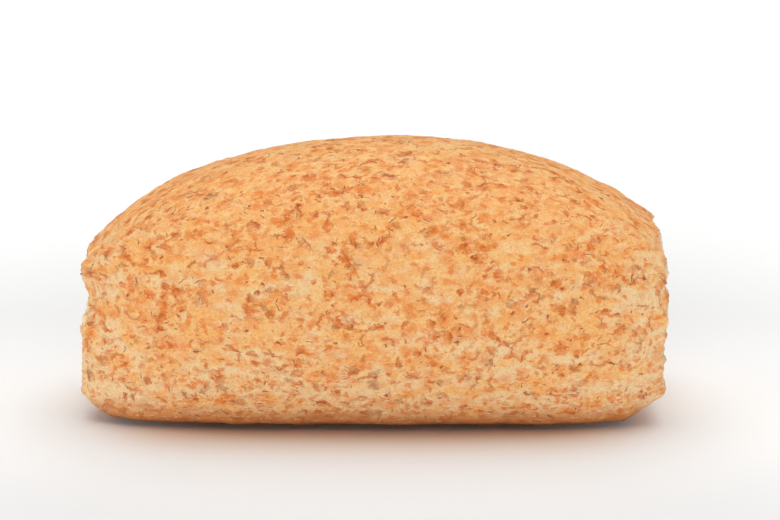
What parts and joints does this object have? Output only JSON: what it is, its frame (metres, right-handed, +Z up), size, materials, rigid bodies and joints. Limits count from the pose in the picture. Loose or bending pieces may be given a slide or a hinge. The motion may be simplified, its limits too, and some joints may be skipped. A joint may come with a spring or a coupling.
{
  "type": "wholemeal bread roll",
  "caption": "Domed oblong bread roll with a bran-flecked golden crust, a broad flat underside and a rough pale torn face at each end.",
  "frame": {"origin": "under the middle of the roll, on the surface its flat underside rests on", "axes": "+X along the roll's length from one torn end to the other, +Y across it, +Z up"},
  "size_m": [0.118, 0.068, 0.055],
  "materials": {
    "bread": "matte"
  },
  "bodies": {
    "root": {"bread_roll": "bread"}
  },
  "joints": []
}
